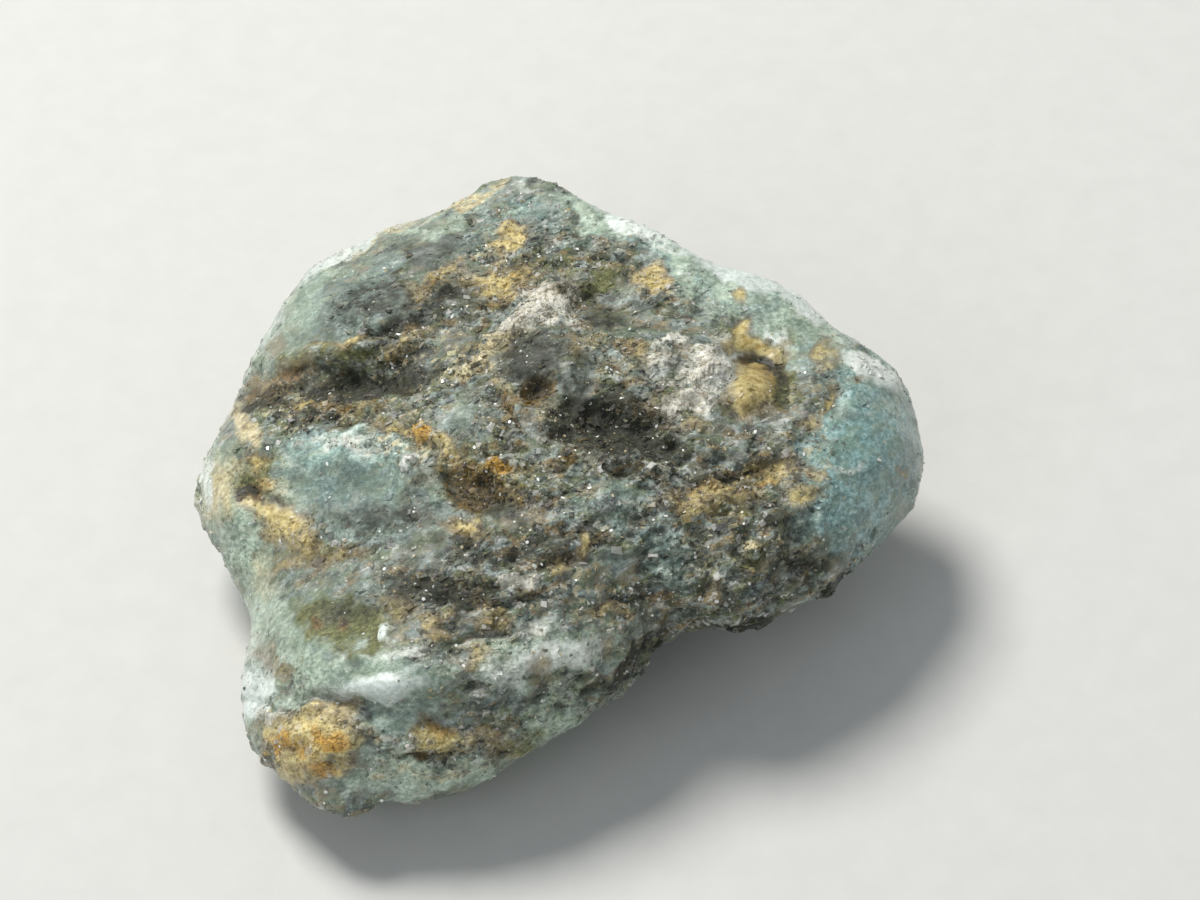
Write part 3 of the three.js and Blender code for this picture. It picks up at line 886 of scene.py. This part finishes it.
class Surface:
    # short ways to write a material's nodes; colours are given as on the screen, 0 to 255
    def __init__(self, name):
        self.material = bpy.data.materials.new(name)
        self.material.use_nodes = True
        self.nodes = self.material.node_tree.nodes
        self.links = self.material.node_tree.links
        self.shader = self.nodes["Principled BSDF"]

    def put(self, node, name, value):
        socket = node.inputs[name]
        if isinstance(value, bpy.types.NodeSocket):
            self.links.new(value, socket)
        else:
            socket.default_value = value

    def shade(self, name, value):
        self.put(self.shader, name, value)

    def node(self, kind, inputs=(), **settings):
        made = self.nodes.new(kind)
        for key, value in settings.items():
            setattr(made, key, value)
        for name, value in dict(inputs).items():
            self.put(made, name, value)
        return made

    def mask(self, name):
        return self.node("ShaderNodeAttribute", attribute_name=name).outputs["Fac"]

    def mapped(self, place, scale=(1, 1, 1), turn=(0, 0, 0)):
        angles = tuple(math.radians(angle) for angle in turn)
        values = {"Vector": place, "Scale": scale, "Rotation": angles}
        return self.node("ShaderNodeMapping", values).outputs[0]

    def place(self):
        # object coordinates in mm
        return self.mapped(self.node("ShaderNodeTexCoord").outputs["Object"], (1000, 1000, 1000))

    def noise(self, place, scale, detail, rough, output="Fac"):
        values = {"Vector": place, "Scale": scale, "Detail": detail, "Roughness": rough}
        return self.node("ShaderNodeTexNoise", values).outputs[output]

    def parts(self, color):
        return self.node("ShaderNodeSeparateColor", {"Color": color}).outputs

    def dice(self):
        # three random numbers for each loose piece
        own = self.node("ShaderNodeNewGeometry").outputs["Random Per Island"]
        thrown = self.node("ShaderNodeTexWhiteNoise", {"W": own}, noise_dimensions="1D")
        return self.parts(thrown.outputs["Color"])

    def calc(self, operation, *values):
        return self.node("ShaderNodeMath", enumerate(values), operation=operation).outputs[0]

    def times(self, first, *others):
        for other in others:
            first = self.calc("MULTIPLY", first, other)
        return first

    def line(self, value, slope, start):
        return self.calc("MULTIPLY_ADD", value, slope, start)

    def less(self, value, amount):
        return self.calc("SUBTRACT", value, amount)

    def step(self, value, low, high, most=1.0):
        values = {"Value": value, "From Min": low, "From Max": high, "To Max": most}
        return self.node("ShaderNodeMapRange", values, interpolation_type="SMOOTHSTEP").outputs["Result"]

    def mix(self, share, under, over, blend="MIX"):
        made = self.node("ShaderNodeMix", data_type="RGBA", blend_type=blend, clamp_factor=True)
        self.put(made, "Factor", share)
        for socket, value in ((6, under), (7, over)):     # the two colours among its inputs
            self.put(made, socket, linear(value) if isinstance(value, tuple) else value)
        return made.outputs[2]

    def bump(self, height, strength, distance):
        values = {"Height": height, "Strength": strength, "Distance": distance * mm}
        return self.node("ShaderNodeBump", values).outputs[0]


print("materials")
rock = {
    "blueGrey": (136, 150, 144),
    "warmGrey": (128, 130, 112),
    "deepGreen": (48, 58, 46),
    "mossy": (94, 102, 60),
    "brownish": (134, 112, 68),
    "silver": (206, 210, 204),
    # pale specks, partly painted glints
    "bright": (236, 236, 228),
    "deep": (26, 32, 24),
    # colour of the painted shade in the crevices
    "creviceShade": (34, 34, 22),
    "greenTint": (132, 152, 124),
    "warmTint": (164, 166, 138),
    "darkVein": (84, 104, 92),
    "milk": (206, 216, 208),
    "plum": (140, 128, 132),
    "leaf": (104, 112, 66),
    "honey": (160, 136, 88),
    "cream": (216, 204, 160),
    # light and shade of each kind of marking
    "pale": ((194, 210, 190), (146, 171, 151)),
    "teal": ((140, 163, 156), (90, 120, 112)),
    "aqua": ((170, 206, 204), (114, 158, 156)),
    # dark marks, also used as painted shade
    "dark": ((50, 53, 35), (19, 21, 12)),
    # white marks, also used as painted highlights
    "white": ((237, 246, 242), (200, 214, 205)),
    "crustWhite": ((244, 241, 226), (208, 202, 178)),
    "ochre": ((222, 208, 148), (176, 152, 80)),
    "amber": ((214, 166, 56), (172, 124, 30)),
    "rust": ((126, 98, 38), (64, 48, 18)),
    "olive": ((118, 121, 66), (75, 79, 38)),
    "beige": ((228, 216, 172), (176, 160, 116)),
    "fray": 2.0,            # how frayed the markings' edges are
    "wornLively": 0.24,     # how much of the raw parts' contrast the worn parts have
    "grainContrast": 1.05,  # how much light and dark grains differ
    "speckContrast": 2.6,   # the same for the specks on them
    "toneSwing": (0.8, 0.6),     # slow changes of tone: how strong, and where they start
    "darkest": 0.15,        # no tone is below this
    "creviceShadeShare": 0.62,      # painted shade in the crevices
    "speckStretch": (0.75, 1.0, 1.0),    # along the grain, across it and in depth
    "streakStretch": (0.6, 1.1, 1.1),
    "lift": (0.91, 0.38),   # evens out the small shadows: on worn parts, and what the raw parts add
    "ior": 1.58,
    "coat": (0.2, 0.5),     # on raw parts, and what the worn parts add
    "coatRoughness": 0.2,
    "glow": 0.35,           # light that goes into the stone and out again
    "glowReach": 0.6,       # mm
    "glowColor": (0.9, 1.0, 0.9),
    "polishBump": (0.7, 0.06),    # strength, mm
    "gritBump": (0.8, 0.11),
}


# The noises of the rock: how many to the mm, detail, roughness
patterns = {
    "streaks": (2.2, 6.0, 0.68),
    "speck": (7.0, 4.0, 0.75),
    "fields": (1.9, 3.5, 0.55),
    "broken": (1.9, 5.0, 0.62),
    "clouds": (1.0, 6.0, 0.66),
    "veins": (2.4, 7.0, 0.7),
    "crystals": (3.6, 2.0, 0.5),
    "crystalKinds": (1.6, 2.0, 0.5),
    "tone": (0.8, 4.0, 0.6),
    "polish": (5.0, 5.0, 0.75),
    "grit": (9.0, 6.0, 0.72),
}
# How each marking covers what is under it: where its mask starts and is full, and the most it covers
cover = {
    "teal": (0.1, 0.95, 0.9),
    "aqua": (0.1, 0.95, 0.9),
    "pale": (0.1, 0.95, 1.0),
    "olive": (0.1, 0.8, 0.95),
    "beige": (0.2, 0.9, 1.0),
    "white": (0.2, 0.85, 1.0),
    "ochre": (0.3, 0.95, 1.0),
    "amber": (0.2, 0.95, 0.9),
    "rust": (0.15, 0.9, 0.95),
    "dark": (0.1, 0.8, 0.95),
}
# How rough it shines: where that starts, what each thing adds, and the most
shine = {
    "start": 0.7, "worn": -0.1, "speck": -0.8, "ochre": 0.2, "dull": 0.45, "most": 0.95,
}


class RockSurface(Surface):
    # the solid skin and the loose grains share one set of patterns and markings
    def __init__(self, name, loose):
        super().__init__(name)
        self.loose = loose
        self.spot = self.place()
        facing = self.mapped(self.spot, turn=(-sight["elevation"], 0, 0))
        self.flow = self.mapped(facing, turn=(0, 0, -grain["rise"]))
        self.speckPlace = self.mapped(self.flow, rock["speckStretch"])
        streakPlace = self.mapped(self.flow, rock["streakStretch"])
        self.streaks = self.pattern(streakPlace, "streaks")
        self.speck = self.pattern(self.speckPlace, "speck")
        self.fields = self.parts(self.noise(streakPlace, *patterns["fields"], "Color"))
        self.worn = self.mask("worn")
        self.rough = self.less(1.0, self.worn)
        self.lively = self.line(self.rough, 1 - rock["wornLively"], rock["wornLively"])
        broken = self.pattern(self.spot, "broken")
        fray = self.times(self.less(broken, 0.5), self.line(self.rough, 0.6, 0.4))
        if loose:
            self.picks = self.dice()
            fray = self.line(self.less(self.picks[2], 0.5), 0.1, fray)
        self.fray = self.times(fray, rock["fray"])

    def pattern(self, place, name):
        return self.noise(place, *patterns[name])

    def tinted(self, color, where, tints):
        # within the masks that where holds; each tint: its noise, where in it the tint starts and is full,
        # the most it covers, its name
        for noiseValue, low, high, most, tint in tints:
            share = self.times(self.step(noiseValue, low, high, most), *where)
            color = self.mix(share, color, rock[tint])
        return color

    def ground(self):
        color = self.mix(self.step(self.fields[0], 0.38, 0.6), rock["warmGrey"], rock["blueGrey"])
        return self.tinted(color, (), (
            (self.fields[1], 0.5, 0.6, 0.9, "mossy"),
            (self.fields[2], 0.51, 0.62, 0.85, "brownish"),
            (self.streaks, 0.52, 0.4, 0.85, "deepGreen"),
            (self.streaks, 0.56, 0.66, 0.75, "silver"),
        ))

    def marking(self, under, kind):
        low, high, most = cover[kind]
        mask = self.mask(kind)
        near = self.calc("MINIMUM", self.times(mask, 3.0), 1.0)
        share = self.step(self.line(near, self.fray, mask), low, high, most)
        light, shade = rock[kind]
        if kind == "white":     # creamier where it is a loose crust
            light = self.mix(self.rough, light, rock["crustWhite"][0])
            shade = self.mix(self.rough, shade, rock["crustWhite"][1])
        color = self.mix(self.step(self.speck, 0.34, 0.62), shade, light)
        return self.mix(share, under, color), share

    def wornTints(self, color):
        # the worn parts are milky, with veins and tints in them
        clouds = self.pattern(self.flow, "clouds")
        veins = self.pattern(self.speckPlace, "veins")
        return self.tinted(color, (self.worn,), (
            (self.fields[1], 0.46, 0.62, 0.5, "greenTint"),
            (self.fields[2], 0.54, 0.66, 0.35, "warmTint"),
            (clouds, 0.52, 0.36, 0.6, "darkVein"),
            (veins, 0.46, 0.34, 0.5, "darkVein"),
            (veins, 0.55, 0.7, 0.45, "milk"),
        ))

    def crystals(self, color):
        if self.loose:
            there = self.step(self.picks[0], 0.4, 0.5)
            kind = self.picks[1]
        else:
            there = self.step(self.pattern(self.spot, "crystals"), 0.53, 0.58)
            kind = self.step(self.pattern(self.spot, "crystalKinds"), 0.4, 0.6)
        tint = self.mix(self.step(kind, 0.2, 0.3), rock["leaf"], rock["honey"])
        tint = self.mix(self.step(kind, 0.5, 0.6), tint, rock["cream"])
        return self.mix(self.times(there, self.mask("crystals"), 0.85), color, tint)

    def grains(self, color, calm, spared):
        # light and dark grains, pale specks that are partly painted glints, and painted shade in the
        # crevices
        contrast = self.times(self.lively, rock["grainContrast"], calm)
        lift = self.line(self.rough, rock["lift"][1], rock["lift"][0])
        tone = self.line(self.less(self.speck, 0.5), self.times(contrast, rock["speckContrast"]), lift)
        tone = self.times(tone, self.line(self.pattern(self.spot, "tone"), *rock["toneSwing"]))
        if self.loose:
            tone = self.times(tone, self.line(self.less(self.picks[0], 0.45), contrast, 1.0))
            leaf = self.times(self.calc("COMPARE", self.picks[2], 0.3, 0.05), 0.25)
            color = self.tinted(color, (), (
                (self.picks[2], 0.8, 0.84, 0.22, "brownish"),
                (self.picks[2], 0.14, 0.1, 0.3, "plum"),
            ))
            color = self.mix(leaf, color, rock["leaf"])
            bright = self.step(self.picks[1], 0.84, 0.97, 0.85)
            deep = self.step(self.picks[1], 0.3, 0.12, 0.75)
        else:
            bright = self.step(self.speck, 0.57, 0.68, 0.6)
            deep = self.step(self.speck, 0.45, 0.34, 0.8)
        tone = self.calc("MAXIMUM", tone, rock["darkest"])
        grey = self.node("ShaderNodeCombineColor", {"Red": tone, "Green": tone, "Blue": tone}).outputs[0]
        color = self.mix(1.0, color, grey, "MULTIPLY")
        color = self.mix(self.times(deep, self.rough, calm), color, rock["deep"])
        # pale specks, partly painted glints
        color = self.mix(self.times(bright, self.lively, spared), color, rock["bright"])
        # painted shade darkens the crevices, more the deeper they are
        return self.mix(self.times(self.mask("crevice"), calm, rock["creviceShadeShare"]), color, rock["creviceShade"])


def rockMaterial(name, loose):
    s = RockSurface(name, loose)
    color, _ = s.marking(s.ground(), "teal")
    color, _ = s.marking(color, "aqua")
    color, _ = s.marking(color, "pale")
    color, olive = s.marking(s.wornTints(color), "olive")
    color, _ = s.marking(color, "beige")
    color, white = s.marking(s.crystals(color), "white")
    halo = s.step(s.line(s.fray, 0.5, s.mask("ochre")), 0.02, 0.4, 0.55)
    color, ochre = s.marking(s.mix(halo, color, rock["brownish"]), "ochre")
    color, _ = s.marking(color, "amber")
    color, rust = s.marking(color, "rust")
    # the dark marks are partly the stone's dark minerals and partly painted shade
    color, dark = s.marking(color, "dark")
    calm = s.line(s.calc("MAXIMUM", ochre, s.times(white, 0.9)), -0.8, 1.0)
    spared = s.line(s.calc("MAXIMUM", dark, rust), -0.92, 1.0)
    spared = s.times(spared, s.line(ochre, -0.6, 1.0))
    s.shade("Base Color", s.grains(color, calm, spared))

    dull = s.calc("MAXIMUM", olive, s.times(dark, 0.8))
    gloss = s.line(s.speck, shine["speck"], s.line(s.worn, shine["worn"], shine["start"]))
    gloss = s.line(dull, shine["dull"], s.line(ochre, shine["ochre"], gloss))
    s.shade("Roughness", s.calc("MINIMUM", gloss, shine["most"]))
    s.shade("IOR", rock["ior"])
    coat = s.line(s.worn, rock["coat"][1], rock["coat"][0])
    s.shade("Coat Weight", s.times(coat, s.less(1.0, dull)))
    s.shade("Coat Roughness", rock["coatRoughness"])
    s.shade("Subsurface Weight", rock["glow"])
    s.shade("Subsurface Radius", rock["glowColor"])
    s.shade("Subsurface Scale", rock["glowReach"] * mm)

    s.shade("Coat Normal", s.bump(s.pattern(s.speckPlace, "polish"), *rock["polishBump"]))
    grit = s.calc("ADD", s.pattern(s.spot, "grit"), s.speck)
    smoothGrain = s.line(s.times(ochre, s.worn), -0.75, 1.0)
    s.shade("Normal", s.bump(s.times(grit, s.lively, smoothGrain), *rock["gritBump"]))
    return s.material


mica = {
    "grey": (104, 108, 94),
    "silver": (236, 238, 232),
    "golden": (190, 172, 120),
    "ior": 1.6,
    "coat": 0.5,
    "coatRoughness": 0.12,
    "scratchBump": (0.4, 0.04),   # strength, mm
}


def micaMaterial():
    s = Surface("mica")
    picks = s.dice()
    color = s.mix(s.step(picks[0], 0.35, 0.95), mica["grey"], mica["silver"])
    s.shade("Base Color", s.mix(s.step(picks[1], 0.7, 0.9, 0.7), color, mica["golden"]))
    s.shade("Roughness", s.line(picks[2], 0.25, 0.1))
    s.shade("IOR", mica["ior"])
    s.shade("Coat Weight", mica["coat"])
    s.shade("Coat Roughness", mica["coatRoughness"])
    s.shade("Normal", s.bump(s.noise(s.place(), 22.0, 3.0, 0.6), *mica["scratchBump"]))
    return s.material


print("loose grains, flakes and crumbs")
# density per square mm, sizes in mm, angles in degrees; length, width, thickness and sink are shares of
# the size; corners is how many sides a flake has, and 0 makes a block
scatters = {
    "rock_grains": {
        "share": "grainShare", "density": 34.0, "seed": 4, "smallest": 0.06, "largest": 0.2,
        "length": 1.5, "width": 1.0, "thickness": 0.6,
        "sink": 0.2, "lean": 24.0, "spread": 40.0, "corners": 0,
    },
    "mica_flakes": {
        "share": "flakeShare", "density": 20.0, "seed": 11, "smallest": 0.04, "largest": 0.14,
        "length": 1.2, "width": 0.9, "thickness": 0.18,
        "sink": -0.05, "lean": 30.0, "spread": 180.0, "corners": 5,
    },
    "crust_crumbs": {
        "share": "crumbShare", "density": 70.0, "seed": 23, "smallest": 0.04, "largest": 0.11,
        "length": 1.3, "width": 0.95, "thickness": 0.7,
        "sink": 0.12, "lean": 60.0, "spread": 180.0, "corners": 0,
    },
    "fibres": {
        "share": "fibreShare", "density": 9.0, "seed": 31, "smallest": 0.016, "largest": 0.03,
        "length": 18.0, "width": 0.9, "thickness": 1.2,
        "sink": -0.3, "lean": 9.0, "spread": 40.0, "corners": 3,
    },
}


def chip(group, corners, seed):
    # a closed piece about one unit across with its corners moved at random
    nodes = group.nodes
    links = group.links
    if corners:
        base = nodes.new("GeometryNodeMeshCylinder")
        base.fill_type = "NGON"
        base.inputs["Vertices"].default_value = corners
        base.inputs["Radius"].default_value = 0.5
        base.inputs["Depth"].default_value = 1.0
        jitter = 0.1
    else:
        base = nodes.new("GeometryNodeMeshCube")
        base.inputs["Size"].default_value = (1, 1, 1)
        jitter = 0.24
    move = nodes.new("GeometryNodeSetPosition")
    shift = nodes.new("FunctionNodeRandomValue")
    shift.data_type = "FLOAT_VECTOR"
    shift.inputs[0].default_value = (-jitter, -jitter, -jitter * 0.6)
    shift.inputs[1].default_value = (jitter, jitter, jitter * 0.6)
    shift.inputs["Seed"].default_value = seed
    links.new(base.outputs["Mesh"], move.inputs["Geometry"])
    links.new(shift.outputs[0], move.inputs["Offset"])
    wrap = nodes.new("GeometryNodeGeometryToInstance")
    links.new(move.outputs[0], wrap.inputs[0])
    return wrap.outputs[0]


def scatterGroup(name, corners):
    group = bpy.data.node_groups.new(name, "GeometryNodeTree")
    face = group.interface
    face.new_socket("Geometry", in_out="INPUT", socket_type="NodeSocketGeometry")
    face.new_socket("Share", in_out="INPUT", socket_type="NodeSocketString")
    sizes = ("Density", "Smallest", "Largest", "Length", "Width", "Thickness", "Sink", "Lean", "Spread")
    for label in sizes:
        face.new_socket(label, in_out="INPUT", socket_type="NodeSocketFloat")
    face.new_socket("Seed", in_out="INPUT", socket_type="NodeSocketInt")
    face.new_socket("Grain", in_out="INPUT", socket_type="NodeSocketVector")
    face.new_socket("Material", in_out="INPUT", socket_type="NodeSocketMaterial")
    face.new_socket("Geometry", in_out="OUTPUT", socket_type="NodeSocketGeometry")
    nodes = group.nodes
    links = group.links
    given = nodes.new("NodeGroupInput").outputs
    result = nodes.new("NodeGroupOutput").inputs

    def feed(socket, value):
        if isinstance(value, bpy.types.NodeSocket):
            links.new(value, socket)
        else:
            socket.default_value = value

    def calc(operation, a, b):
        made = nodes.new("ShaderNodeMath")
        made.operation = operation
        feed(made.inputs[0], a)
        feed(made.inputs[1], b)
        return made.outputs[0]

    def between(low, high, shift):
        # a random number for each point
        made = nodes.new("FunctionNodeRandomValue")
        made.data_type = "FLOAT"
        feed(made.inputs[2], low)
        feed(made.inputs[3], high)
        feed(made.inputs["Seed"], calc("ADD", given["Seed"], shift))
        return made.outputs[1]

    share = nodes.new("GeometryNodeInputNamedAttribute")
    share.data_type = "FLOAT"
    links.new(given["Share"], share.inputs["Name"])
    strew = nodes.new("GeometryNodeDistributePointsOnFaces")
    links.new(given["Geometry"], strew.inputs["Mesh"])
    links.new(calc("MULTIPLY", share.outputs["Attribute"], given["Density"]), strew.inputs["Density"])
    links.new(given["Seed"], strew.inputs["Seed"])

    # small pieces are commoner than large ones
    span = calc("SUBTRACT", given["Largest"], given["Smallest"])
    size = calc("ADD", given["Smallest"], calc("MULTIPLY", span, calc("POWER", between(0.0, 1.0, 1), 2.0)))
    stored = nodes.new("GeometryNodeStoreNamedAttribute")
    stored.data_type = "FLOAT"
    stored.domain = "POINT"
    stored.inputs["Name"].default_value = "pieceSize"
    links.new(strew.outputs["Points"], stored.inputs["Geometry"])
    links.new(size, stored.inputs["Value"])
    sizeAgain = nodes.new("GeometryNodeInputNamedAttribute")
    sizeAgain.data_type = "FLOAT"
    sizeAgain.inputs["Name"].default_value = "pieceSize"
    size = sizeAgain.outputs["Attribute"]

    upright = nodes.new("FunctionNodeAlignRotationToVector")
    upright.axis = "X"
    upright.pivot_axis = "Z"
    links.new(strew.outputs["Rotation"], upright.inputs["Rotation"])
    links.new(given["Grain"], upright.inputs["Vector"])
    turn = nodes.new("ShaderNodeCombineXYZ")
    for index, amount in enumerate((given["Lean"], given["Lean"], given["Spread"])):
        links.new(calc("MULTIPLY", amount, between(-1.0, 1.0, 2 + index)), turn.inputs[index])
    euler = nodes.new("FunctionNodeEulerToRotation")
    links.new(turn.outputs[0], euler.inputs[0])
    rotate = nodes.new("FunctionNodeRotateRotation")
    rotate.rotation_space = "LOCAL"
    links.new(upright.outputs[0], rotate.inputs["Rotation"])
    links.new(euler.outputs[0], rotate.inputs["Rotate By"])

    scale = nodes.new("ShaderNodeCombineXYZ")
    for index, label in enumerate(("Length", "Width", "Thickness")):
        side = calc("MULTIPLY", given[label], between(0.65, 1.25, 6 + index))
        links.new(calc("MULTIPLY", side, size), scale.inputs[index])

    lower = nodes.new("ShaderNodeVectorMath")
    lower.operation = "SCALE"
    links.new(strew.outputs["Normal"], lower.inputs[0])
    links.new(calc("MULTIPLY", calc("MULTIPLY", given["Sink"], size), -1.0), lower.inputs["Scale"])
    settle = nodes.new("GeometryNodeSetPosition")
    links.new(stored.outputs[0], settle.inputs["Geometry"])
    links.new(lower.outputs[0], settle.inputs["Offset"])

    chips = nodes.new("GeometryNodeJoinGeometry")
    for seed in (3, 8, 14, 27):
        links.new(chip(group, corners, seed), chips.inputs[0])
    spread = nodes.new("GeometryNodeInstanceOnPoints")
    spread.inputs["Pick Instance"].default_value = True
    links.new(settle.outputs[0], spread.inputs["Points"])
    links.new(chips.outputs[0], spread.inputs["Instance"])
    links.new(rotate.outputs[0], spread.inputs["Rotation"])
    links.new(scale.outputs[0], spread.inputs["Scale"])
    real = nodes.new("GeometryNodeRealizeInstances")
    links.new(spread.outputs[0], real.inputs[0])
    paint = nodes.new("GeometryNodeSetMaterial")
    links.new(real.outputs[0], paint.inputs["Geometry"])
    links.new(given["Material"], paint.inputs["Material"])
    links.new(paint.outputs[0], result["Geometry"])
    return group


def scatterPiece(name, material):
    how = scatters[name]
    group = scatterGroup(name + "Group", how["corners"])
    carrier = bpy.data.objects.new(name + "Carrier", stone.data.copy())
    bpy.context.collection.objects.link(carrier)
    modifier = carrier.modifiers.new("strew", "NODES")
    modifier.node_group = group
    values = {
        "Share": how["share"], "Density": how["density"] * 1e6, "Seed": how["seed"],
        "Smallest": how["smallest"] * mm, "Largest": how["largest"] * mm,
        "Length": how["length"], "Width": how["width"], "Thickness": how["thickness"], "Sink": how["sink"],
        "Lean": math.radians(how["lean"]), "Spread": math.radians(how["spread"]),
        "Grain": tuple(alongGrain.tolist()), "Material": material,
    }
    for socket in group.interface.items_tree:
        if socket.in_out == "INPUT" and socket.name in values:
            modifier[socket.identifier] = values[socket.name]
    graph = bpy.context.evaluated_depsgraph_get()
    mesh = bpy.data.meshes.new_from_object(carrier.evaluated_get(graph), depsgraph=graph)
    bpy.data.objects.remove(carrier)
    piece = bpy.data.objects.new(name, mesh)
    bpy.context.collection.objects.link(piece)
    mesh.shade_flat()
    triangles = sum(len(p.vertices) - 2 for p in mesh.polygons)
    print("  ", name, "triangles", triangles)
    return piece


looseRock = rockMaterial("grandidieriteGrains", True)
silvery = micaMaterial()
pieces = [scatterPiece(name, silvery if name == "mica_flakes" else looseRock) for name in scatters]
stone.data.materials.append(rockMaterial("grandidieriteRock", False))
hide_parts("stone")
for piece in [stone, *pieces]:
    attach(piece, "root")


def floorPiece():
    mesh = bpy.data.meshes.new("floor")
    half = studio["floorSize"] / 2
    corners = [(-half, -half, 0), (half, -half, 0), (half, half, 0), (-half, half, 0)]
    mesh.from_pydata(corners, [], [(0, 1, 2, 3)])
    floor = bpy.data.objects.new("floor", mesh)
    bpy.context.collection.objects.link(floor)
    s = Surface("floorPaper")
    s.shade("Base Color", s.mix(s.noise(s.place(), 0.8, 6.0, 0.6), (205, 205, 202), (216, 216, 213)))
    s.shade("Roughness", 0.8)
    mesh.materials.append(s.material)


print("floor")
floorPiece()
